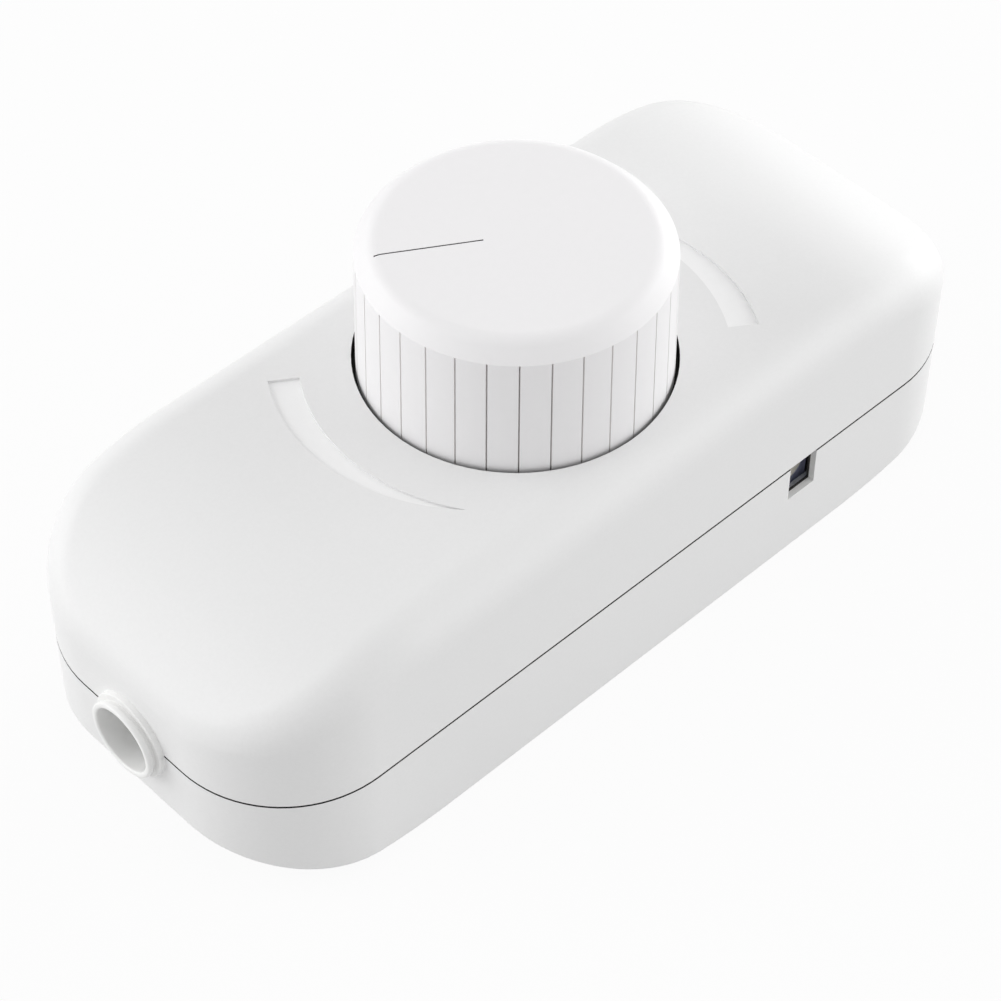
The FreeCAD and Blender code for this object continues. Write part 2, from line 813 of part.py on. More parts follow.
def fuse_leads():
    x, y = fuse_place
    return [(x, y + step * fuse_lead_spacing / 2) for step in (-1, 1)]


def fuse():
    x, y = fuse_place
    can = drum(fuse_diameter / 2, board_top, board_top + fuse_height, x, y)
    rim = [edge for edge in can.Edges if edge.BoundBox.ZMin > board_top + fuse_height - touch]
    return joined(can.makeFillet(fuse_round, rim), round_leads(fuse_leads()))


def axial_leads(x, y, span):
    return [(x + step * span / 2, y) for step in (-1, 1)]


def bent_lead(start, end, y, axis):
    # A wire that leaves the end of a body, turns down and goes through the board
    side = math.copysign(1, end - start)
    turn = end - side * lead_bend
    middle = lead_bend * math.sqrt(0.5)
    path = Part.Wire([
        Part.makeLine(Vector(start, y, axis), Vector(turn, y, axis)),
        Part.Arc(Vector(turn, y, axis), Vector(turn + side * middle, y, axis - lead_bend + middle),
                 Vector(end, y, axis - lead_bend)).toShape(),
        Part.makeLine(Vector(end, y, axis - lead_bend), Vector(end, y, pin_tip))])
    section = Part.Wire(Part.makeCircle(lead_radius, Vector(start, y, axis), Vector(side, 0, 0)))
    return path.makePipeShell([section], True, True)


def axial_part(x, y, diameter, length, span):
    # A round body lying on the board, with a lead bent down at each end
    axis = board_top + axial_lift + diameter / 2
    body = rod(diameter / 2, x - length / 2, x + length / 2, y, axis)
    leads = [bent_lead(x + side * length / 4, x + side * span / 2, y, axis) for side in (-1, 1)]
    return joined(body, leads)


def resistor_places():
    x, y = resistor_place
    return [(x, y - index * resistor_pitch) for index in range(resistor_count)]


def heat_sink():
    x, y = heat_sink_place
    half = heat_sink_width / 2
    top = board_top + heat_sink_height
    channel = brick(x, x + heat_sink_reach, y - half, y + half, board_top, top)
    hollow = brick(x + heat_sink_sheet, x + heat_sink_reach + over_cut, y - half + heat_sink_sheet,
                   y + half - heat_sink_sheet, board_top - over_cut, top + over_cut)
    hole = rod(triac_screw_diameter / 2 + thread_clearance, x - over_cut, x + heat_sink_sheet + over_cut, y,
               triac_hole_level())
    return channel.cut([hollow, hole])


def triac_hole_level():
    return board_top + triac_lift + triac_height - triac_hole_drop


def triac_leads():
    x, y = heat_sink_place
    return [(x + heat_sink_sheet + triac_thickness / 2, y + step * triac_lead_pitch) for step in (-1, 0, 1)]


def triac():
    x, y = heat_sink_place
    back = x + heat_sink_sheet
    bottom = board_top + triac_lift
    body = brick(back, back + triac_thickness, y - triac_width / 2, y + triac_width / 2, bottom,
                 bottom + triac_height)
    legs = [drum(lead_radius, pin_tip, bottom + lead_radius, px, py) for px, py in triac_leads()]
    hole_radius = triac_screw_diameter / 2 + hole_clearance
    hole = rod(hole_radius, back - over_cut, back + triac_thickness + over_cut, y, triac_hole_level())
    return joined(body, legs).cut(hole)


def heat_sink_screw():
    x, y = heat_sink_place
    seat = x + heat_sink_sheet + triac_thickness
    shank = rod(triac_screw_diameter / 2, x - triac_screw_tail, seat, y, triac_hole_level())
    head = rod(triac_screw_head_diameter / 2, seat, seat + triac_screw_head_height, y, triac_hole_level())
    slot = brick(seat + triac_screw_head_height / 2, seat + 2 * triac_screw_head_height,
                 y - triac_screw_head_diameter, y + triac_screw_head_diameter,
                 triac_hole_level() - cross_slot_width / 2, triac_hole_level() + cross_slot_width / 2)
    return joined(head, [shank]).cut(slot)


def trimmer_leads():
    # Two leads near the edge of the board and the middle one set back
    y = -board_half_width + trimmer_lead_edge_gap
    places = [(window_centre + step * trimmer_lead_pitch, y) for step in (-1, 1)]
    return places + [(window_centre, y + trimmer_lead_setback)]


def trimmer_body():
    box = brick(window_centre - trimmer_width / 2, window_centre + trimmer_width / 2, trimmer_front,
                trimmer_front + trimmer_depth, board_top, board_top + trimmer_height)
    hole = Part.makeCylinder(trimmer_rotor_diameter / 2 + trimmer_rotor_clearance,
                             trimmer_rotor_depth + trimmer_rotor_clearance + over_cut,
                             Vector(window_centre, trimmer_front - over_cut, window_axis), Vector(0, 1, 0))
    return joined(box, round_leads(trimmer_leads())).cut(hole)


def trimmer_rotor():
    face = trimmer_front - trimmer_rotor_proud
    radius = trimmer_rotor_diameter / 2
    disc = Part.makeCylinder(radius, trimmer_rotor_proud + trimmer_rotor_depth,
                             Vector(window_centre, face, window_axis), Vector(0, 1, 0))
    slot = brick(window_centre - radius, window_centre + radius, face - over_cut, face + trimmer_slot_depth,
                 window_axis - trimmer_slot_width / 2, window_axis + trimmer_slot_width / 2)
    return disc.cut(slot)


def circuit_board():
    board = brick(-board_half_length, board_half_length, -board_half_width, board_half_width,
                  board_bottom, board_top)
    board = board.makeFillet(board_corner, [edge for edge in board.Edges if edge.BoundBox.ZLength > touch])
    low = board_bottom - over_cut
    high = board_top + over_cut
    leads = capacitor_leads() + choke_leads() + fuse_leads() + triac_leads() + trimmer_leads()
    leads += terminal_lead_places(-1) + terminal_lead_places(1)
    for x, y in resistor_places():
        leads += axial_leads(x, y, resistor_lead_span)
    leads += axial_leads(*diac_place, diac_lead_span)
    holes = [drum(lead_radius + lead_clearance, low, high, x, y) for x, y in leads]
    for x, y in pot_pin_places() + switch_pin_places():
        holes.append(drum(pin_width / 2 + lead_clearance, low, high, x, y))
    for x, y in ((pillar_x, pillar_y), (-pillar_x, -pillar_y)):
        holes.append(drum(board_screw_shank_diameter / 2 + hole_clearance, low, high, x, y))
    return board.cut(holes)


os.makedirs("parts", exist_ok=True)
save("base_tray", base_tray())
save("top_cover", top_cover())
save("cord_bushing_front", cord_bushing(-1))
save("cord_bushing_rear", cord_bushing(1))
save("case_screws", *case_screws())
save("knob", knob())
save("pot_shaft", pot_shaft())
save("pot_rotor", pot_rotor())
save("shaft_ring", shaft_ring())
save("pot_bushing", pot_bushing())
save("pot_can", pot_can())
save("pot_wafer", pot_wafer())
save("pot_pins", *[flat_pin(x, y, wafer_bottom) for x, y in pot_pin_places()])
save("switch_housing", drum(control_radius - can_sheet, switch_bottom, wafer_bottom))
save("switch_pins", *[flat_pin(x, y, switch_bottom) for x, y in switch_pin_places()])
save("pot_washer", pot_washer())
save("pot_nut", pot_nut())
save("cord_clamp_front", cord_clamp(-1))
save("cord_clamp_rear", cord_clamp(1))
save("clamp_screws", *clamp_screws())
save("circuit_board", circuit_board())
save("board_screws", *board_screws())
save("input_terminal", terminal(-1))
save("output_terminal", terminal(1))
save("terminal_screws", *terminal_screws())
save("film_capacitor", film_capacitor())
save("choke_core", choke_core())
save("choke_winding", choke_winding())
save("fuse", fuse())
save("resistors", *[axial_part(x, y, resistor_diameter, resistor_length, resistor_lead_span)
                    for x, y in resistor_places()])
save("diac", axial_part(*diac_place, diac_diameter, diac_length, diac_lead_span))
save("heat_sink", heat_sink())
save("triac", triac())
save("heat_sink_screw", heat_sink_screw())
save("trimmer_body", trimmer_body())
save("trimmer_rotor", trimmer_rotor())
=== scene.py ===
import bpy
import bmesh
import math
from functools import partial
from mathutils import Matrix, Vector


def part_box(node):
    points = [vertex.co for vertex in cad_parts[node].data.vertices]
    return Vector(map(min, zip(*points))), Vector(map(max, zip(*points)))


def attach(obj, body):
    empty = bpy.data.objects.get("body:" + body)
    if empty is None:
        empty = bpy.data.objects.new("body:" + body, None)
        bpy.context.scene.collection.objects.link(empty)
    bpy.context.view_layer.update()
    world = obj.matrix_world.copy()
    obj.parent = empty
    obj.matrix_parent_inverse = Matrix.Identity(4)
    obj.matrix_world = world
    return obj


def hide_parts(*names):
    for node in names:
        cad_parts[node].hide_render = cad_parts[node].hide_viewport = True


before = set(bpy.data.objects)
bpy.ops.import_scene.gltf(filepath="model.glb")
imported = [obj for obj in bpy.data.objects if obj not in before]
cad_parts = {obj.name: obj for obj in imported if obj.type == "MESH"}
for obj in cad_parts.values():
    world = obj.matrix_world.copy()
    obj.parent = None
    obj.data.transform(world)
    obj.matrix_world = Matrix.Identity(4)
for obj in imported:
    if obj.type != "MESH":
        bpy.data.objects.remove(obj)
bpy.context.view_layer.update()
mm = 0.001
weldDistance = 0.0005  # mm: points of a skin that lie nearer than this become one
print("frame loaded:", len(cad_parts), "nodes")


def toLinear(hexText):  # sRGB hex to the linear colour that shaders take
    parts = [int(hexText[i:i + 2], 16) / 255 for i in (1, 3, 5)]
    return tuple(p / 12.92 if p <= 0.04045 else ((p + 0.055) / 1.055) ** 2.4 for p in parts) + (1.0,)


def addNode(tree, kind, inputs=(), **settings):  # one node with its settings, values and links
    node = tree.nodes.new(kind)
    for name, value in settings.items():
        setattr(node, name, value)
    # A plain tuple fills the sockets in order, and a list is several links into one socket
    for name, value in inputs.items() if isinstance(inputs, dict) else enumerate(inputs):
        for source in value if isinstance(value, list) else [value]:
            if isinstance(source, bpy.types.Node):
                source = source.outputs[0]
            if isinstance(source, bpy.types.NodeSocket):
                tree.links.new(source, node.inputs[name])
            else:
                node.inputs[name].default_value = source
    return node


def newMaterial(name):
    material = bpy.data.materials.new(name)
    material.use_nodes = True
    material.node_tree.nodes.clear()
    return material, partial(addNode, material.node_tree)


# View: the photograph's own camera, worked out from the outline of the case and knob

photoView = {
    "azimuth": -44.027, "elevation": 47.839, "roll": 0.327,
    "distance": 0.311267, "focalPixels": 3079.556, "imagePixels": 1001,
    "target": (-0.004273, -0.002429, 0.012), "sensorWidth": 36, "clipStart": 0.01,
}


def placeCamera(view):
    turn, lift, roll = (math.radians(view[key]) for key in ("azimuth", "elevation", "roll"))
    back = Vector((math.sin(turn) * math.cos(lift), -math.cos(turn) * math.cos(lift), math.sin(lift)))
    right = Vector((math.cos(turn), math.sin(turn), 0))
    up = back.cross(right)
    across = right * math.cos(roll) + up * math.sin(roll)
    upward = up * math.cos(roll) - right * math.sin(roll)
    data = bpy.data.cameras.new("photoCamera")
    data.sensor_width = view["sensorWidth"]
    data.lens = view["focalPixels"] * data.sensor_width / view["imagePixels"]
    data.clip_start = view["clipStart"]
    camera = bpy.data.objects.new("photoCamera", data)
    place = Matrix((across, upward, back)).transposed().to_4x4()
    place.translation = Vector(view["target"]) + back * view["distance"]
    camera.matrix_world = place
    bpy.context.collection.objects.link(camera)
    bpy.context.scene.camera = camera


placeCamera(photoView)
bpy.context.scene.view_settings.view_transform = "Standard"
print("camera placed")


# Studio: a ring of soft boxes, strongest at the left and right, with the camera side left darker

studio = {
    "floorHalf": 3.0, "floorColour": "#e0e0e0", "floorGlow": 0.93, "skyLevel": 0.65,
    "boxes": {  # place, width and height in m, watts
        "leftBox": ((-0.431, 0.417, 0.25), (0.5, 0.5), 1.9),
        "rightBox": ((0.431, -0.417, 0.25), (0.5, 0.5), 1.2),
        "farRightBox": ((0.594, 0.010, 0.12), (0.5, 0.24), 1.2),
        "farLeftBox": ((-0.010, 0.594, 0.12), (0.5, 0.24), 0.2),
        "topBox": ((0.0, 0.0, 0.80), (0.7, 0.7), 0.3),
    },
    "aim": (0, 0, 0.02),
}


def whiteToCamera(add, shader, white, output, share=1.0):  # the camera, mirrors and glass see plain white
    path = add("ShaderNodeLightPath").outputs
    seen = add("ShaderNodeMath", (path["Is Camera Ray"], path["Is Glossy Ray"]), operation="MAXIMUM")
    seen = add("ShaderNodeMath", (seen, path["Is Transmission Ray"]), operation="MAXIMUM")
    glow = add("ShaderNodeMath", (seen, share), operation="MULTIPLY")
    mixed = add("ShaderNodeMixShader", (glow, shader, white))
    add(output, {"Surface": mixed})


def makeWorld(plan):
    world = bpy.data.worlds.new("studioWorld")
    bpy.context.scene.world = world
    world.use_nodes = True
    world.node_tree.nodes.clear()
    add = partial(addNode, world.node_tree)
    sky = add("ShaderNodeBackground", {"Color": (1, 1, 1, 1), "Strength": plan["skyLevel"]})
    white = add("ShaderNodeBackground", {"Color": (1, 1, 1, 1), "Strength": 1.0})
    whiteToCamera(add, sky, white, "ShaderNodeOutputWorld")


def makeFloor(plan):
    half = plan["floorHalf"]
    corners = [(-half, -half, 0), (half, -half, 0), (half, half, 0), (-half, half, 0)]
    mesh = bpy.data.meshes.new("floor")
    mesh.from_pydata(corners, [], [(0, 1, 2, 3)])
    floor = bpy.data.objects.new("floor", mesh)
    bpy.context.collection.objects.link(floor)
    material, add = newMaterial("paperSweep")  # matt white paper, so bright that only a faint shadow is left
    paper = add("ShaderNodeBsdfDiffuse", {"Color": toLinear(plan["floorColour"])})
    glow = add("ShaderNodeEmission", {"Color": (1, 1, 1, 1), "Strength": 1.0})
    whiteToCamera(add, paper, glow, "ShaderNodeOutputMaterial", plan["floorGlow"])
    mesh.materials.append(material)


def addSoftbox(name, place, aim, size, watts):
    data = bpy.data.lights.new(name, "AREA")
    data.shape = "RECTANGLE"
    data.size, data.size_y = size
    data.energy = watts
    lamp = bpy.data.objects.new(name, data)
    lamp.location = place
    lamp.rotation_mode = "QUATERNION"
    lamp.rotation_quaternion = (Vector(aim) - Vector(place)).to_track_quat("-Z", "Y")
    bpy.context.collection.objects.link(lamp)


makeWorld(studio)
makeFloor(studio)
for boxName, (place, size, watts) in studio["boxes"].items():
    addSoftbox(boxName, place, studio["aim"], size, watts)
print("studio lit")


# Finishes. Grain is the size in mm of the mottling that the making left in the surface.

mottling = {"detail": 3.0, "glossSpread": 0.15, "reliefShare": 0.25, "sheenRoughness": 0.35}


def mottledFinish(name, colour, mottle, grain, roughness, ior=1.5, metallic=0.0, bump=0.0,
                  stretch=(1, 1, 1), sheen=0.0):
    material, add = newMaterial(name)
    place = add("ShaderNodeTexCoord")
    stretched = add("ShaderNodeMapping", {"Vector": place.outputs["Object"], "Scale": stretch})
    noise = add("ShaderNodeTexNoise", {
        "Vector": stretched, "Scale": 1 / (grain * mm), "Detail": mottling["detail"]})
    tint = add("ShaderNodeMix", {0: noise, 6: toLinear(colour), 7: toLinear(mottle)}, data_type="RGBA")
    shiny, dull = (roughness * (1 + sign * mottling["glossSpread"]) for sign in (-1, 1))
    gloss = add("ShaderNodeMapRange", {"Value": noise, "To Min": shiny, "To Max": dull})
    relief = add("ShaderNodeBump", {
        "Height": noise, "Strength": bump, "Distance": grain * mm * mottling["reliefShare"]})
    body = add("ShaderNodeBsdfPrincipled", {
        "Base Color": tint.outputs[2], "Roughness": gloss, "Normal": relief, "IOR": ior,
        "Metallic": metallic, "Sheen Weight": sheen, "Sheen Roughness": mottling["sheenRoughness"]})
    add("ShaderNodeOutputMaterial", {"Surface": body})
    return material


finishes = {
    # White ABS from a fine spark-eroded mould: even and matt, with a dull sheen at a low angle
    "caseAbs": mottledFinish("sparkTexturedAbs", "#ececec", "#e8e8e8", 0.35, 0.48, ior=1.53, bump=0.04),
    # The same ABS from a polished insert in the mould: whiter and smoother than the wall round it
    "arcAbs": mottledFinish("polishedArcAbs", "#f8f8f8", "#f5f5f5", 0.8, 0.3, ior=1.53, bump=0.01),
    # White ABS from a smoother mould, with a soft sheen at the knob's sides
    "knobAbs": mottledFinish("satinWhiteAbs", "#f2f1f2", "#f0eff0", 0.9, 0.5, ior=1.53, bump=0.002,
                             sheen=0.4),
    # Natural polyamide, smooth and a little waxy, very pale so that the bore stays light
    "collarNylon": mottledFinish("whitePolyamide", "#f4f4f3", "#f0f0ef", 0.8, 0.4, ior=1.53, bump=0.01),
    # Painted shade: near black on faces deep in the joint between the halves, in the window past its lip and
    # in the knob's well, standing in for the shade there
    "paintedShade": mottledFinish("paintedShadeAbs", "#232222", "#343231", 0.6, 0.7, ior=1.53),
    # Painted shade: the plastic greyed in the flutes, where shade falls
    "fluteShadeAbs": mottledFinish("paintedFluteShadeAbs", "#e9e7e6", "#efedec", 0.6, 0.5, ior=1.53),
    # Paint wiped into the groove: flat, and an uneven grey
    "pointerInk": mottledFinish("wipedGreyPaint", "#6e6d6f", "#828183", 0.4, 0.6),
    # Nickel over steel: bright, faintly yellow, with fine barrel scuffs
    "nickelSteel": mottledFinish("nickelPlatedSteel", "#b9b6ae", "#a8a59d", 0.3, 0.28, metallic=1.0,
                                 bump=0.03),
    # Zinc as cast: grey and slightly grainy
    "zincCast": mottledFinish("zincDieCasting", "#a3a19d", "#92908c", 0.25, 0.42, metallic=1.0, bump=0.08),
    # Pressed brown paper laminate, with its fibres along X
    "phenolic": mottledFinish("phenolicPaperBoard", "#6b4426", "#583618", 0.4, 0.5, ior=1.55,
                              stretch=(0.3, 1, 1)),
    # Tin over brass: pale and soft, a little warm
    "tinnedBrass": mottledFinish("tinnedBrass", "#c4bda6", "#b3ab92", 0.3, 0.3, metallic=1.0),
    # Black polyamide, matt from the mould
    "blackNylon": mottledFinish("blackPolyamide", "#1e1e1f", "#282829", 0.4, 0.45, ior=1.53, bump=0.05),
    # Green polyamide of terminal blocks, matt from the mould
    "greenNylon": mottledFinish("greenPolyamide", "#1f8a45", "#1a7a3c", 0.5, 0.4, ior=1.53, bump=0.04),
    # Moulded polyester box of a film capacitor, smooth and clean yellow
    "capacitorBox": mottledFinish("yellowPolyesterBox", "#d6a21e", "#c99618", 0.7, 0.3, ior=1.56),
    # Sintered ferrite: near black with a stony grain
    "ferrite": mottledFinish("sinteredFerrite", "#3a3a3d", "#2c2c2f", 0.2, 0.6, ior=2.0, bump=0.15),
    # Copper under clear enamel: shiny and a deep red-brown
    "copper": mottledFinish("enamelledCopper", "#b4632f", "#9a4f22", 0.4, 0.22, metallic=1.0),
    # Blue lacquer over glass, glossy
    "diacGlass": mottledFinish("blueLacqueredGlass", "#2f5f9e", "#284f86", 0.4, 0.2, ior=1.52),
    # Drawn aluminium: pale, with die lines along Z
    "aluminium": mottledFinish("drawnAluminium", "#c9c9c9", "#b5b5b6", 0.15, 0.34, metallic=1.0, bump=0.04,
                               stretch=(1, 1, 0.08)),
    # Thermoset of a trimmer's body, matt; painted light: its dark blue is lifted to a pale grey-blue, as it
    # sits in shade behind the window
    "trimmerBlue": mottledFinish("paintedLightBlueThermoset", "#b3b9d2", "#a8aec9", 0.4, 0.45, ior=1.55, bump=0.04),
    # Thermoset of its rotor, matt; painted light: its dark grey is lifted pale, as it sits in shade
    "trimmerGrey": mottledFinish("paintedLightGreyThermoset", "#d2cec4", "#c6c2b8", 0.4, 0.5, ior=1.55, bump=0.04),
}


boardCoat = {  # sizes in mm, and then the copper runs in lane widths
    "laneWidth": 2.6, "weaveWidth": 0.25, "copperThickness": 0.035,
    "runWidth": 0.16, "runSpacing": 6.0, "rowSpacing": 1.6,
}


def makeBoardFinish(coat):  # glass-epoxy under green solder resist; copper runs show as paler lanes
    material, add = newMaterial("solderResist")
    place = add("ShaderNodeTexCoord").outputs["Object"]
    lanes = add("ShaderNodeTexBrick", {
        "Vector": place, "Color1": toLinear("#1c5f38"), "Color2": toLinear("#1a5933"),
        "Mortar": toLinear("#2f8351"), "Scale": 1 / (coat["laneWidth"] * mm),
        "Mortar Size": coat["runWidth"], "Brick Width": coat["runSpacing"], "Row Height": coat["rowSpacing"]})
    weave = add("ShaderNodeTexNoise", {"Vector": place, "Scale": 1 / (coat["weaveWidth"] * mm)})
    relief = add("ShaderNodeBump", {
        "Height": lanes.outputs["Fac"], "Strength": 0.3, "Distance": coat["copperThickness"] * mm})
    gloss = add("ShaderNodeMapRange", {"Value": weave, "To Min": 0.2, "To Max": 0.34})
    body = add("ShaderNodeBsdfPrincipled", {
        "Base Color": lanes, "Normal": relief, "Roughness": gloss, "IOR": 1.55})
    add("ShaderNodeOutputMaterial", {"Surface": body})
    return material


resistorCoat = {
    "speckWidth": 0.3,  # mm
    "bands": (  # where each colour starts along the length
        (0.0, "#c3bfb4"), (0.21, "#c9a877"), (0.30, "#8c2a1e"), (0.35, "#c9a877"), (0.42, "#8c2a1e"),
        (0.47, "#c9a877"), (0.54, "#c8862b"), (0.59, "#c9a877"), (0.68, "#a88a3c"), (0.73, "#c9a877"),
        (0.80, "#c3bfb4")),
}


def makeResistorFinish(coat, low, high):  # lacquered ceramic with value bands along X; wire ends are tinned
    material, add = newMaterial("bandedBeigeLacquer")
    place = add("ShaderNodeTexCoord").outputs["Object"]
    split = add("ShaderNodeSeparateXYZ", (place,))
    along = add("ShaderNodeMapRange", {"Value": split, "From Min": low[0], "From Max": high[0]})
    paint = add("ShaderNodeValToRGB", (along,))
    ramp = paint.color_ramp
    ramp.interpolation = "CONSTANT"
    while len(ramp.elements) < len(coat["bands"]):
        ramp.elements.new(0.5)
    for element, (position, colour) in zip(ramp.elements, coat["bands"]):
        element.position = position
        element.color = toLinear(colour)
    speck = add("ShaderNodeTexNoise", {"Vector": place, "Scale": 1 / (coat["speckWidth"] * mm)})
    gloss = add("ShaderNodeMapRange", {"Value": speck, "To Min": 0.2, "To Max": 0.35})
    body = add("ShaderNodeBsdfPrincipled", {"Base Color": paint, "Roughness": gloss, "IOR": 1.52})
    add("ShaderNodeOutputMaterial", {"Surface": body})
    return material


finishes["solderResist"] = makeBoardFinish(boardCoat)
finishes["bandedLacquer"] = makeResistorFinish(resistorCoat, *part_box("resistors"))
print("finishes made:", len(finishes))


def finishPiece(piece, body, slotName, *nodeNames):  # hands a piece over to the frame
    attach(piece, body)
    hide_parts(*nodeNames)
    print(piece.name, "built:", len(piece.data.polygons), "faces")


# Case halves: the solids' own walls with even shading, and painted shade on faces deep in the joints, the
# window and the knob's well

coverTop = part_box("top_cover")[1]
caseForm = {
    "halfLength": coverTop[0] / mm, "halfWidth": coverTop[1] / mm, "height": coverTop[2] / mm,
    "corner": 13.0, "parting": 12.8, "tongueTop": 14.4, "wall": 2.0,
    "wellRadius": 16.15, "wellLevel": 26.4, "arcDepth": 0.3, "arcInner": 21.35, "arcWidth": 3.1,
    "windowCentre": 21.45, "windowWidth": 3.9, "windowBottom": 8.3, "windowLip": 0.7,
    "sharpAngle": 32, "slack": 0.02, "weld": 0.001, "sliver": 0.0005,
}
caseCoats = ("caseAbs", "paintedShade", "arcAbs")


def mergedCopy(nodeName, pieceName, form):  # a welded copy of a node's mesh, smooth but for its sharp edges
    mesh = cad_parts[nodeName].data.copy()
    mesh.name = pieceName
    mesh.materials.clear()
    stale = mesh.attributes.get("custom_normal")
    if stale:
        mesh.attributes.remove(stale)
    work = bmesh.new()
    work.from_mesh(mesh)
    bmesh.ops.remove_doubles(work, verts=work.verts, dist=form["weld"] * mm)
    bmesh.ops.dissolve_degenerate(work, edges=work.edges, dist=form["sliver"] * mm)
    work.to_mesh(mesh)
    work.free()
    mesh.polygons.foreach_set("use_smooth", [True] * len(mesh.polygons))
    mesh.set_sharp_from_angle(angle=math.radians(form["sharpAngle"]))
    piece = bpy.data.objects.new(pieceName, mesh)
    bpy.context.collection.objects.link(piece)
    return piece


def planInset(x, y, form):  # how far inside the plan outline a point lies, in mm
    along = abs(x) - form["halfLength"] + form["corner"]
    across = abs(y) - form["halfWidth"] + form["corner"]
    if along > 0 and across > 0:
        return form["corner"] - math.hypot(along, across)
    return min(form["halfLength"] - abs(x), form["halfWidth"] - abs(y))


def inWindow(centre, form):  # faces that line the small window
    x, y, z = (value / mm for value in centre)
    slack = form["slack"]
    beside = abs(x - form["windowCentre"]) < form["windowWidth"] / 2 + slack
    through = slack < y + form["halfWidth"] < form["wall"] + slack
    return beside and through and form["windowBottom"] - slack < z < form["parting"] - slack


def inPaintedShade(centre, form):  # faces that take painted shade: the dark line between the pieces, the window past its lip, the knob's well
    x, y, z = (value / mm for value in centre)
    slack = form["slack"]
    inset = planInset(x, y, form)
    atTongue = form["parting"] - slack < z < form["tongueTop"] + slack
    joint = atTongue and slack < inset < form["wall"] - slack
    lining = inWindow(centre, form) and inset > form["windowLip"]
    atWell = form["wellLevel"] - slack < z < form["height"] - slack
    well = atWell and math.hypot(x, y) < form["wellRadius"] + slack
    return joint or lining or well


def splitWindow(mesh, form):  # cuts the lining across, so that only its outer lip stays white and the rest takes painted shade
    work = bmesh.new()
    work.from_mesh(mesh)
    lining = [face for face in work.faces if inWindow(face.calc_center_median(), form)]
    edges = list({edge for face in lining for edge in face.edges})
    bmesh.ops.bisect_plane(work, geom=lining + edges, plane_no=(0, 1, 0),
                           plane_co=(0, (form["windowLip"] - form["halfWidth"]) * mm, 0))
    work.to_mesh(mesh)
    work.free()


def onArcFloor(centre, form):
    x, y, z = (value / mm for value in centre)
    slack = form["slack"]
    beside = form["arcInner"] - slack < math.hypot(x, y) < form["arcInner"] + form["arcWidth"] + slack
    return beside and abs(z - form["height"] + form["arcDepth"]) < slack


def evenShading(piece):  # wide faces lead the shading, so flats stay flat up to their rounded edges
    modifier = piece.modifiers.new("evenShading", "WEIGHTED_NORMAL")
    modifier.keep_sharp = True
    bpy.context.view_layer.update()
    evened = piece.evaluated_get(bpy.context.evaluated_depsgraph_get())
    mesh = bpy.data.meshes.new_from_object(evened)
    piece.modifiers.remove(modifier)
    piece.data = mesh


def dressCaseHalf(nodeName, pieceName, form):
    piece = mergedCopy(nodeName, pieceName, form)
    splitWindow(piece.data, form)
    for coat in caseCoats:
        piece.data.materials.append(finishes[coat])
    # Painted shade goes on faces deep in the joint, the window and the well; the arcs' floors and the rest
    # keep the case's finishes
    for face in piece.data.polygons:
        outside = "arcAbs" if onArcFloor(face.center, form) else "caseAbs"
        face.material_index = caseCoats.index("paintedShade" if inPaintedShade(face.center, form) else outside)
    evenShading(piece)
    finishPiece(piece, "case", "case_white", nodeName)


dressCaseHalf("base_tray", "baseShell", caseForm)
dressCaseHalf("top_cover", "coverShell", caseForm)


# Trees work in mm round their own axis. growPiece sets the result in its place in metres.

def startTree(name, sizes, geometryInput=None):
    tree = bpy.data.node_groups.new(name, "GeometryNodeTree")
    tree.interface.new_socket("Mesh", in_out="OUTPUT", socket_type="NodeSocketGeometry")
    if geometryInput:
        tree.interface.new_socket(geometryInput, in_out="INPUT", socket_type="NodeSocketGeometry")
    for key, value in sizes.items():
        kind = "NodeSocketInt" if isinstance(value, int) else "NodeSocketFloat"
        tree.interface.new_socket(key, in_out="INPUT", socket_type=kind)
    add = partial(addNode, tree)
    return tree, add, add("NodeGroupInput").outputs


def endTree(add, geometry, material, *extra):  # extra: pairs of face selection and finish
    coat = add("GeometryNodeRealizeInstances", {"Geometry": geometry})
    for selection, finish in ((True, material),) + extra:
        coat = add("GeometryNodeSetMaterial", {
            "Geometry": coat, "Selection": selection, "Material": finish})
    add("NodeGroupOutput", (coat,))


def growPiece(pieceName, tree, sizes, placement, places=(), sharpAngle=30):  # runs a tree, keeps a plain mesh
    seed = bpy.data.meshes.new(pieceName + "Places")
    seed.from_pydata(list(places), [], [])
    piece = bpy.data.objects.new(pieceName, seed)
    bpy.context.collection.objects.link(piece)
    modifier = piece.modifiers.new(tree.name, "NODES")
    modifier.node_group = tree
    for socket in tree.interface.items_tree:
        if socket.in_out == "INPUT" and socket.name in sizes:
            modifier[socket.identifier] = sizes[socket.name]
    bpy.context.view_layer.update()
    grown = piece.evaluated_get(bpy.context.evaluated_depsgraph_get())
    mesh = bpy.data.meshes.new_from_object(grown)
    piece.modifiers.remove(modifier)
    mesh.transform(Matrix.Scale(mm, 4) @ placement)
    piece.data = mesh
    mesh.name = pieceName
    mesh.polygons.foreach_set("use_smooth", [True] * len(mesh.polygons))
    mesh.set_sharp_from_angle(angle=math.radians(sharpAngle))
    bpy.data.meshes.remove(seed)
    return piece


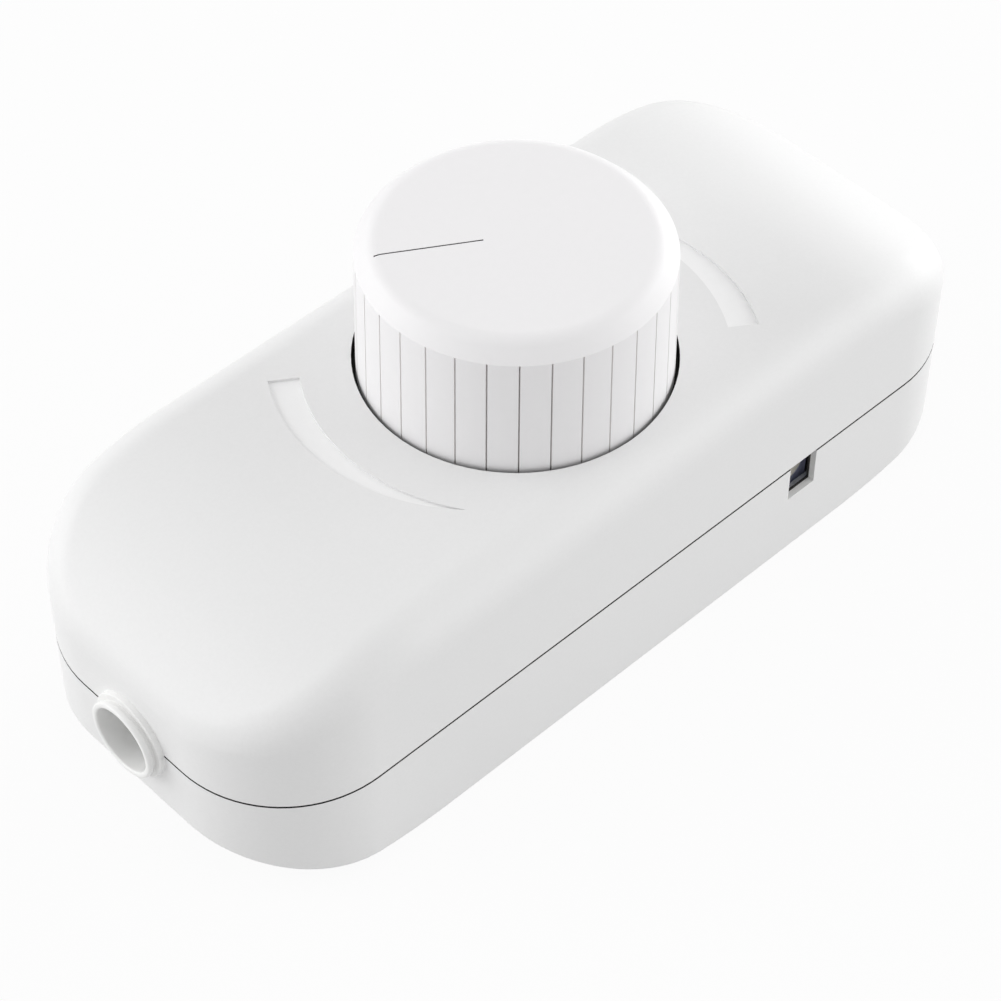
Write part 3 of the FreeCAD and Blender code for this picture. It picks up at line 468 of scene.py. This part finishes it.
def makeTurnedSkin():  # spins a profile about Z; a profile that climbs on its outside gives outward faces
    tree, add, given = startTree("turnedSkin", {"Columns": 64}, "Profile")
    rows = add("GeometryNodeAttributeDomainSize", {"Geometry": given["Profile"]}).outputs["Point Count"]
    across = add("FunctionNodeIntegerMath", (given["Columns"], 1), operation="ADD")
    grid = add("GeometryNodeMeshGrid", {"Vertices X": across, "Vertices Y": rows})
    index = add("GeometryNodeInputIndex")
    column = add("FunctionNodeIntegerMath", (index, rows), operation="DIVIDE_FLOOR")
    row = add("FunctionNodeIntegerMath", (index, rows), operation="FLOORED_MODULO")
    here = add("GeometryNodeInputPosition")
    sample = add("GeometryNodeSampleIndex", {"Geometry": given["Profile"], "Value": here, "Index": row},
                 data_type="FLOAT_VECTOR", domain="POINT")
    lap = add("ShaderNodeMath", (column, given["Columns"]), operation="DIVIDE")
    turn = add("ShaderNodeMath", (lap, math.tau), operation="MULTIPLY")
    spot = add("ShaderNodeVectorRotate", {"Vector": sample, "Angle": turn}, rotation_type="Z_AXIS")
    spun = add("GeometryNodeSetPosition", {"Geometry": grid, "Position": spot})
    closed = add("GeometryNodeMergeByDistance", {"Geometry": spun, "Distance": weldDistance})
    add("NodeGroupOutput", (closed,))
    return tree


turnedSkin = makeTurnedSkin()


def turnProfile(add, points, columns, roundSteps=8):  # points: radius, height and the corner's rounding
    line = add("GeometryNodeMeshLine", {"Count": len(points)})
    index = add("GeometryNodeInputIndex")
    spots = add("GeometryNodeIndexSwitch", {"Index": index}, data_type="VECTOR")
    rounds = add("GeometryNodeIndexSwitch", {"Index": index}, data_type="FLOAT")
    links = line.id_data.links
    for number, (radius, height, rounding) in enumerate(points):
        if number > 1:
            spots.index_switch_items.new()
            rounds.index_switch_items.new()
        spot = add("ShaderNodeCombineXYZ", {"X": radius, "Z": height})
        links.new(spot.outputs[0], spots.inputs[number + 1])
        if isinstance(rounding, bpy.types.NodeSocket):
            links.new(rounding, rounds.inputs[number + 1])
        else:
            rounds.inputs[number + 1].default_value = rounding
    bent = add("GeometryNodeSetPosition", {"Geometry": line, "Position": spots})
    curve = add("GeometryNodeMeshToCurve", {"Mesh": bent})
    eased = add("GeometryNodeFilletCurve", {"Curve": curve, "Count": roundSteps, "Radius": rounds,
                                            "Limit Radius": True}, mode="POLY")
    profile = add("GeometryNodeCurveToMesh", {"Curve": eased})
    return add("GeometryNodeGroup", {"Profile": profile, "Columns": columns}, node_tree=turnedSkin)


# Knob: a hollow turned cap with fine V flutes, a hub with a D bore, ribs and a pointer groove along +X

knobLow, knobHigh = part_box("knob")
knobTop = knobHigh[2] / mm
pointerTurn = math.radians(148.0)
knobSizes = {
    "Bottom": knobLow[2] / mm, "Top": knobTop, "Foot Radius": 15.75, "Rim Radius": 15.54,
    "Flat Edge": 13.8, "Flat Round": 2.0, "Edge Round": 0.15, "Inner Radius": 13.7,
    "Roof": knobTop - 2.3, "Roof Round": 0.5, "Hub Radius": 5.5, "Hub Bottom": 32.1,
    "Bore Radius": 3.03, "Bore Top": 41.65, "Flat Depth": 1.5, "Columns": 512, "Round Steps": 12,
    "Flutes": 32, "Flute Depth": 0.45, "Flute Top": knobTop - 1.9, "Flute Run End": knobTop - 2.15,
    "Flute Offset": math.radians(0.35), "Flute Crowd": 0.4, "Skirt Depth": 0.8,
    "Ribs": 6, "Rib Thickness": 1.2, "Rib Lift": 1.0,
    "Pointer Start": 3.2, "Pointer End": 13.7, "Pointer Half": 0.075, "Pointer Depth": 0.3,
}


def makeKnobTree(sizes):
    tree, add, given = startTree("flutedKnob", sizes)
    edge, roofRound = given["Edge Round"], given["Roof Round"]
    skin = turnProfile(add, [
        (0.0, given["Bore Top"], 0.0), (given["Bore Radius"], given["Bore Top"], 0.0),
        (given["Bore Radius"], given["Hub Bottom"], edge),
        (given["Hub Radius"], given["Hub Bottom"], edge),
        (given["Hub Radius"], given["Roof"], roofRound), (given["Inner Radius"], given["Roof"], roofRound),
        (given["Inner Radius"], given["Bottom"], edge), (given["Foot Radius"], given["Bottom"], edge),
        (given["Rim Radius"], given["Flute Run End"], 0.0),
        (given["Rim Radius"], given["Flute Top"], edge),
        (given["Flat Edge"], given["Top"], given["Flat Round"]), (0.0, given["Top"], 0.0)],
        given["Columns"], given["Round Steps"])

    step = add("ShaderNodeMath", (math.tau, given["Flutes"]), operation="DIVIDE")
    columnShare = sizes["Flutes"] / sizes["Columns"]
    fluteHalf = columnShare * (2 * columnShare) ** sizes["Flute Crowd"]
    skirtStart = sizes["Rim Radius"] - sizes["Skirt Depth"]

    def fluteSpot(offset):  # where a point lies, and how far off its nearest flute in flute steps
        here = add("GeometryNodeInputPosition")
        split = add("ShaderNodeSeparateXYZ", (here,)).outputs
        flat = add("ShaderNodeVectorMath", (here, (1, 1, 0)), operation="MULTIPLY")
        radius = add("ShaderNodeVectorMath", (flat,), operation="LENGTH").outputs["Value"]
        onSkirt = add("ShaderNodeMath", (radius, skirtStart), operation="GREATER_THAN")
        angle = add("ShaderNodeMath", (split["Y"], split["X"]), operation="ARCTAN2")
        fromFirst = add("ShaderNodeMath", (angle, offset), operation="SUBTRACT")
        phase = add("ShaderNodeMath", (fromFirst, step), operation="DIVIDE")
        nearest = add("ShaderNodeMath", (phase,), operation="ROUND")
        off = add("ShaderNodeMath", (phase, nearest), operation="SUBTRACT")
        distance = add("ShaderNodeMath", (off,), operation="ABSOLUTE")
        return {"here": here, "x": split["X"], "y": split["Y"], "z": split["Z"], "flat": flat,
                "onSkirt": onSkirt, "off": off, "distance": distance}

    # Columns crowd towards each flute, and the one on the flute goes in
    point = fluteSpot(0.0)
    share = add("ShaderNodeMath", (point["distance"], 2.0), operation="MULTIPLY")
    eased = add("ShaderNodeMath", (share, given["Flute Crowd"]), operation="POWER")
    draw = add("ShaderNodeMath", (eased, 1.0), operation="SUBTRACT")
    shift = add("ShaderNodeMath", (point["off"], draw), operation="MULTIPLY")
    turn = add("ShaderNodeMath", (shift, step), operation="MULTIPLY")
    crowded = add("ShaderNodeVectorRotate", {"Vector": point["here"], "Angle": turn}, rotation_type="Z_AXIS")
    onFlute = add("ShaderNodeMath", (point["distance"], columnShare / 4), operation="LESS_THAN")
    depth = add("ShaderNodeMapRange", {
        "Value": point["z"], "From Min": given["Flute Top"], "From Max": given["Flute Run End"],
        "To Min": 0.0, "To Max": given["Flute Depth"]})
    goesIn = add("ShaderNodeMath", (onFlute, point["onSkirt"]), operation="MULTIPLY")
    inward = add("ShaderNodeMath", (goesIn, depth), operation="MULTIPLY")
    outDirection = add("ShaderNodeVectorMath", (point["flat"],), operation="NORMALIZE")
    back = add("ShaderNodeMath", (inward, -1.0), operation="MULTIPLY")
    push = add("ShaderNodeVectorMath", {0: outDirection, "Scale": back}, operation="SCALE")
    pressed = add("GeometryNodeSetPosition", {"Geometry": skin, "Position": crowded, "Offset": push})
    fluteTurn = add("ShaderNodeCombineXYZ", {"Z": given["Flute Offset"]})
    fluted = add("GeometryNodeTransform", {"Geometry": pressed, "Rotation": fluteTurn})

    def block(low, high, half, bottom, top):  # a brick along +X
        size = add("ShaderNodeCombineXYZ", {"X": high - low, "Y": 2 * half, "Z": top - bottom})
        cube = add("GeometryNodeMeshCube", {"Size": size})
        middle = ((low + high) / 2, 0, (bottom + top) / 2)
        return add("GeometryNodeTransform", {"Geometry": cube, "Translation": middle})

    # The pointer's cutter is a thin slab with a smaller knob taken out of it, so the groove is evenly deep
    deep = sizes["Pointer Depth"]
    coreDrop, slabRise, coreColumns = 6.0, 1.0, 96
    coreRadius = sizes["Rim Radius"] - deep
    coreBottom, coreTop = sizes["Top"] - coreDrop, sizes["Top"] - deep
    grooveBottom = sizes["Flute Top"] - deep
    core = turnProfile(add, [
        (0.0, coreBottom, 0.0), (coreRadius, coreBottom, 0.0), (coreRadius, grooveBottom, 0.0),
        (sizes["Flat Edge"] - deep / 2, coreTop, sizes["Flat Round"]), (0.0, coreTop, 0.0)],
        coreColumns, given["Round Steps"])
    slab = block(sizes["Pointer Start"], sizes["Pointer End"], sizes["Pointer Half"],
                 grooveBottom, sizes["Top"] + slabRise)
    cutter = add("GeometryNodeMeshBoolean", {"Mesh 1": slab, "Mesh 2": core},
                 operation="DIFFERENCE", solver="EXACT")
    marked = add("GeometryNodeMeshBoolean", {"Mesh 1": fluted, "Mesh 2": cutter},
                 operation="DIFFERENCE", solver="EXACT")

    # Ribs and the D bore's key are bricks whose ends sink into the walls round them
    ribBury, keyBury, endBury = 0.5, 0.3, 0.2
    keyShare = 0.875  # of the bore's radius, so that the key's long edges end inside the hub
    rib = block(sizes["Hub Radius"] - ribBury, sizes["Inner Radius"] + ribBury, sizes["Rib Thickness"] / 2,
                sizes["Hub Bottom"] + sizes["Rib Lift"], sizes["Roof"] + endBury)
    between = add("ShaderNodeMath", (add("GeometryNodeInputIndex"), 0.5), operation="ADD")
    ribTurn = add("ShaderNodeMath", (between, math.tau / sizes["Ribs"]), operation="MULTIPLY")
    ribAim = add("FunctionNodeEulerToRotation", (add("ShaderNodeCombineXYZ", {"Z": ribTurn}),))
    ribPoints = add("GeometryNodePoints", {"Count": given["Ribs"]})
    ribs = add("GeometryNodeInstanceOnPoints", {"Points": ribPoints, "Instance": rib, "Rotation": ribAim})
    key = block(sizes["Bore Radius"] - sizes["Flat Depth"], sizes["Bore Radius"] + keyBury,
                sizes["Bore Radius"] * keyShare, sizes["Hub Bottom"] + endBury, sizes["Bore Top"] + endBury)
    whole = add("GeometryNodeJoinGeometry", ([marked, ribs, key],))

    # Faces in the flutes take painted shade, short of their ends, and faces in the pointer groove are inked
    point = fluteSpot(given["Flute Offset"])
    topGap, footGap = 0.02, 0.2
    inFlute = add("ShaderNodeMath", (point["distance"], fluteHalf), operation="LESS_THAN")
    lowEnough = add("ShaderNodeMath", (point["z"], sizes["Flute Top"] - topGap), operation="LESS_THAN")
    highEnough = add("ShaderNodeMath", (point["z"], sizes["Bottom"] + footGap), operation="GREATER_THAN")
    fluteShadeFaces = add("FunctionNodeBooleanMath", (
        add("FunctionNodeBooleanMath", (inFlute, point["onSkirt"])),
        add("FunctionNodeBooleanMath", (lowEnough, highEnough))))
    sideSlack, endSlack, floorSlack = 0.004, 0.01, 0.05
    aside = add("ShaderNodeMath", (point["y"],), operation="ABSOLUTE")
    narrow = add("ShaderNodeMath", (aside, sizes["Pointer Half"] + sideSlack), operation="LESS_THAN")
    above = add("ShaderNodeMath", (point["z"], grooveBottom - floorSlack), operation="GREATER_THAN")
    beyond = add("ShaderNodeMath", (point["x"], sizes["Pointer Start"] - endSlack), operation="GREATER_THAN")
    short = add("ShaderNodeMath", (point["x"], sizes["Pointer End"] + endSlack), operation="LESS_THAN")
    pointerFaces = add("FunctionNodeBooleanMath", (
        add("FunctionNodeBooleanMath", (narrow, above)), add("FunctionNodeBooleanMath", (beyond, short))))
    endTree(add, whole, finishes["knobAbs"], (fluteShadeFaces, finishes["fluteShadeAbs"]),
            (pointerFaces, finishes["pointerInk"]))
    return tree


knobTree = makeKnobTree(knobSizes)
knobCap = growPiece("knobCap", knobTree, knobSizes, Matrix.Rotation(pointerTurn, 4, "Z"))
finishPiece(knobCap, "knob", "knob_white", "knob")


# Cord collars: one turned bushing for each end, growing outwards from the end wall

collarSizes = {
    "Bore": 3.6, "Lip": 4.25, "Neck": 4.0, "Shoulder": 4.7, "Flange": 4.9, "Groove Top": 1.0, "Rim": 1.6,
    "Shoulder Top": 0.6, "Wall Inside": -2.0, "Flange Back": -3.0, "Sleeve End": -5.0, "Lip Round": 0.25,
    "Edge Round": 0.12, "Columns": 128,
}
collarPlace = {"end": 50.0, "axis": 12.3}


def makeCollarTree(sizes):
    tree, add, given = startTree("cordCollar", sizes)
    edge = given["Edge Round"]
    skin = turnProfile(add, [
        (given["Bore"], given["Groove Top"], 0.0), (given["Bore"], given["Sleeve End"], 0.0),
        (given["Neck"], given["Sleeve End"], edge), (given["Neck"], given["Flange Back"], 0.0),
        (given["Flange"], given["Flange Back"], edge), (given["Flange"], given["Wall Inside"], 0.0),
        (given["Neck"], given["Wall Inside"], 0.0), (given["Neck"], 0.0, 0.0),
        (given["Shoulder"], 0.0, 0.0), (given["Shoulder"], given["Shoulder Top"], edge),
        (given["Neck"], given["Shoulder Top"], 0.0), (given["Neck"], given["Groove Top"], 0.0),
        (given["Lip"], given["Groove Top"], edge), (given["Lip"], given["Rim"], given["Lip Round"]),
        (given["Bore"], given["Rim"], given["Lip Round"]), (given["Bore"], given["Groove Top"], 0.0)],
        given["Columns"])
    endTree(add, skin, finishes["collarNylon"])
    return tree


collarTree = makeCollarTree(collarSizes)
for bushingNode, side in (("cord_bushing_front", -1), ("cord_bushing_rear", 1)):
    onWall = Matrix.Translation((side * collarPlace["end"], 0, collarPlace["axis"]))
    outward = Matrix.Rotation(side * math.pi / 2, 4, "Y")
    collarName = bushingNode.replace("cord_bushing", "collar")
    collar = growPiece(collarName, collarTree, collarSizes, onWall @ outward)
    finishPiece(collar, "case", "collar_white", bushingNode)


# Tapping screws: one tree, instanced where each set of screws sits

screwSizes = {
    "Head": 2.7, "Washer Rim": 0.3, "Washer Top": 0.6, "Dome": 2.1, "Dome Turn": 1.51,
    "Dome Shoulder": 1.48, "Dome Flat": 0.84, "Head Height": 1.7, "Seat Round": 0.05, "Rim Round": 0.1,
    "Shoulder Round": 0.4, "Crown Round": 0.3, "Head Columns": 40, "Round Steps": 4,
    "Major": 1.3, "Core": 0.95, "Length": 9.2, "Point": 2.4, "Pitch": 1.1,
    "Thread Columns": 20, "Thread Rows": 67, "Slot Length": 2.9, "Slot Width": 0.7, "Slot Depth": 1.0,
    "Flip": 0.0, "Seed": 4,
}


def makeScrewTree(sizes):
    tree, add, given = startTree("tappingScrew", sizes, "Places")
    head = turnProfile(add, [
        (0.0, 0.0, 0.0), (given["Head"], 0.0, given["Seat Round"]),
        (given["Head"], given["Washer Rim"], given["Rim Round"]),
        (given["Dome"], given["Washer Top"], given["Rim Round"]),
        (given["Dome Turn"], given["Dome Shoulder"], given["Shoulder Round"]),
        (given["Dome Flat"], given["Head Height"], given["Crown Round"]),
        (0.0, given["Head Height"], 0.0)], given["Head Columns"], given["Round Steps"])
    cutterHeight = 2.0  # mm, taller than the slot is deep
    floor = add("ShaderNodeMath", (given["Head Height"], given["Slot Depth"]), operation="SUBTRACT")
    middle = add("ShaderNodeMath", (floor, cutterHeight / 2), operation="ADD")
    lift = add("ShaderNodeCombineXYZ", {"Z": middle})
    arms = []
    for sideX, sideY in (("Slot Length", "Slot Width"), ("Slot Width", "Slot Length")):
        size = add("ShaderNodeCombineXYZ", {"X": given[sideX], "Y": given[sideY], "Z": cutterHeight})
        arm = add("GeometryNodeMeshCube", {"Size": size})
        arms.append(add("GeometryNodeTransform", {"Geometry": arm, "Translation": lift}))
    cross = add("GeometryNodeMeshBoolean", {"Mesh 1": head, "Mesh 2": arms},
                operation="DIFFERENCE", solver="EXACT")

    # The thread is a fine sheet rolled up, its radius following the helix and drawn in to a point
    across = add("FunctionNodeIntegerMath", (given["Thread Columns"], 1), operation="ADD")
    sheet = add("GeometryNodeMeshGrid", {"Vertices X": across, "Vertices Y": given["Thread Rows"]})
    index = add("GeometryNodeInputIndex")
    column = add("FunctionNodeIntegerMath", (index, given["Thread Rows"]), operation="DIVIDE_FLOOR")
    row = add("FunctionNodeIntegerMath", (index, given["Thread Rows"]), operation="FLOORED_MODULO")
    lastRow = add("ShaderNodeMath", (given["Thread Rows"], 1.0), operation="SUBTRACT")
    length = add("ShaderNodeMath", (given["Length"], -1.0), operation="MULTIPLY")
    height = add("ShaderNodeMapRange", {
        "Value": row, "From Max": lastRow, "To Min": length, "To Max": 0.0})
    lap = add("ShaderNodeMath", (column, given["Thread Columns"]), operation="DIVIDE")
    pitches = add("ShaderNodeMath", (height, given["Pitch"]), operation="DIVIDE")
    phase = add("ShaderNodeMath", (pitches, lap), operation="SUBTRACT")
    halfPitch, ridgeFoot = 0.5, 0.15  # in pitches from the middle of the groove
    ridge = add("ShaderNodeMath", (phase, halfPitch), operation="PINGPONG")
    crest = add("ShaderNodeMapRange", {
        "Value": ridge, "From Min": ridgeFoot, "From Max": halfPitch,
        "To Min": given["Core"], "To Max": given["Major"]})
    tip = add("ShaderNodeMath", (length, given["Point"]), operation="ADD")
    taper = add("ShaderNodeMapRange", {"Value": height, "From Min": length, "From Max": tip})
    radius = add("ShaderNodeMath", (crest, taper), operation="MULTIPLY")
    turn = add("ShaderNodeMath", (lap, math.tau), operation="MULTIPLY")
    outline = add("ShaderNodeCombineXYZ", {"X": radius, "Z": height})
    spot = add("ShaderNodeVectorRotate", {"Vector": outline, "Angle": turn}, rotation_type="Z_AXIS")
    rolled = add("GeometryNodeSetPosition", {"Geometry": sheet, "Position": spot})
    shank = add("GeometryNodeMergeByDistance", {"Geometry": rolled, "Distance": weldDistance})
    screw = add("GeometryNodeJoinGeometry", ([cross, shank],))

    spin = add("FunctionNodeRandomValue", {"Seed": given["Seed"]}, data_type="FLOAT")
    spinTurn = add("ShaderNodeMath", (spin.outputs[1], math.tau), operation="MULTIPLY")
    pose = add("ShaderNodeCombineXYZ", {"X": given["Flip"], "Z": spinTurn})
    aim = add("FunctionNodeEulerToRotation", (pose,))
    screws = add("GeometryNodeInstanceOnPoints", {
        "Points": given["Places"], "Instance": screw, "Rotation": aim})
    endTree(add, screws, finishes["nickelSteel"])
    return tree


screwTree = makeScrewTree(screwSizes)
boardScrewSizes = dict(screwSizes, **{
    "Head": 2.1, "Dome": 1.5, "Dome Turn": 1.08, "Dome Flat": 0.6, "Major": 1.1, "Core": 0.8,
    "Length": 5.0, "Pitch": 0.9, "Thread Rows": 45, "Slot Length": 2.2, "Slot Width": 0.55, "Seed": 9})
fourCorners = ((-1, -1), (-1, 1), (1, -1), (1, 1))
twoCorners = ((-1, -1), (1, 1))
for screwNode, screwName, ownSizes, flipped, signs in (
        ("case_screws", "caseScrews", screwSizes, True, fourCorners),
        ("clamp_screws", "clampScrews", screwSizes, False, fourCorners),
        ("board_screws", "boardScrews", boardScrewSizes, False, twoCorners)):
    low, high = ([value / mm for value in corner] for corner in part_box(screwNode))
    reachX, reachY = high[0] - ownSizes["Head"], high[1] - ownSizes["Head"]
    seat = low[2] + ownSizes["Head Height"] if flipped else high[2] - ownSizes["Head Height"]
    places = [(signX * reachX, signY * reachY, seat) for signX, signY in signs]
    posedSizes = dict(ownSizes, Flip=math.pi if flipped else 0.0)
    screws = growPiece(screwName, screwTree, posedSizes, Matrix.Identity(4), places)
    finishPiece(screws, "case", "plated_steel", screwNode)


# Choke winding: one layer of wire laid turn by turn on a sleeve of the layers below it

windLow, windHigh = ([value / mm for value in corner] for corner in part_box("choke_winding"))
windHeight = windHigh[2] - windLow[2]
wireRadius = 0.3
windingSizes = {
    "Wire Radius": wireRadius, "Line Radius": (windHigh[0] - windLow[0]) / 2 - wireRadius, "Bore": 2.25,
    "Height": windHeight, "Rise": windHeight - 2 * wireRadius,
    "Turn Points": 40, "Wire Sides": 8, "Sleeve Columns": 48,
}


def makeWindingTree(sizes):
    tree, add, given = startTree("chokeWinding", sizes)
    pitch = add("ShaderNodeMath", (given["Wire Radius"], 2.0), operation="MULTIPLY")
    turns = add("ShaderNodeMath", (given["Rise"], pitch), operation="DIVIDE")
    helix = add("GeometryNodeCurveSpiral", {
        "Resolution": given["Turn Points"], "Rotations": turns, "Start Radius": given["Line Radius"],
        "End Radius": given["Line Radius"], "Height": given["Rise"]})
    ring = add("GeometryNodeCurvePrimitiveCircle", {
        "Resolution": given["Wire Sides"], "Radius": given["Wire Radius"]})
    wire = add("GeometryNodeCurveToMesh", {"Curve": helix, "Profile Curve": ring, "Fill Caps": True})
    lift = add("ShaderNodeCombineXYZ", {"Z": given["Wire Radius"]})
    lifted = add("GeometryNodeTransform", {"Geometry": wire, "Translation": lift})
    sleeve = turnProfile(add, [
        (given["Bore"], 0.0, 0.0), (given["Line Radius"], 0.0, 0.0),
        (given["Line Radius"], given["Height"], 0.0), (given["Bore"], given["Height"], 0.0),
        (given["Bore"], 0.0, 0.0)], given["Sleeve Columns"], 1)
    whole = add("GeometryNodeJoinGeometry", ([lifted, sleeve],))
    endTree(add, whole, finishes["copper"])
    return tree


windingTree = makeWindingTree(windingSizes)
onCore = Matrix.Translation(((windLow[0] + windHigh[0]) / 2, (windLow[1] + windHigh[1]) / 2, windLow[2]))
winding = growPiece("windingWire", windingTree, windingSizes, onCore, sharpAngle=40)
finishPiece(winding, "case", "copper", "choke_winding")


# Inside pieces whose solids are already right take a finish only

insideFinishes = {
    "pot_shaft": "zincCast", "pot_rotor": "phenolic", "shaft_ring": "nickelSteel",
    "pot_bushing": "zincCast", "pot_can": "nickelSteel", "pot_wafer": "phenolic",
    "pot_pins": "tinnedBrass", "switch_housing": "blackNylon", "switch_pins": "tinnedBrass",
    "pot_washer": "nickelSteel", "pot_nut": "nickelSteel", "cord_clamp_front": "blackNylon",
    "cord_clamp_rear": "blackNylon", "circuit_board": "solderResist", "input_terminal": "greenNylon",
    "output_terminal": "greenNylon", "terminal_screws": "nickelSteel", "film_capacitor": "capacitorBox",
    "choke_core": "ferrite", "fuse": "blackNylon", "resistors": "bandedLacquer", "diac": "diacGlass",
    "heat_sink": "aluminium", "triac": "blackNylon", "heat_sink_screw": "nickelSteel",
    "trimmer_body": "trimmerBlue", "trimmer_rotor": "trimmerGrey",
}
for insideNode, finish in insideFinishes.items():
    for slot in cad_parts[insideNode].material_slots:
        slot.link = "OBJECT"
        slot.material = finishes[finish]
print("inside pieces finished:", len(insideFinishes))
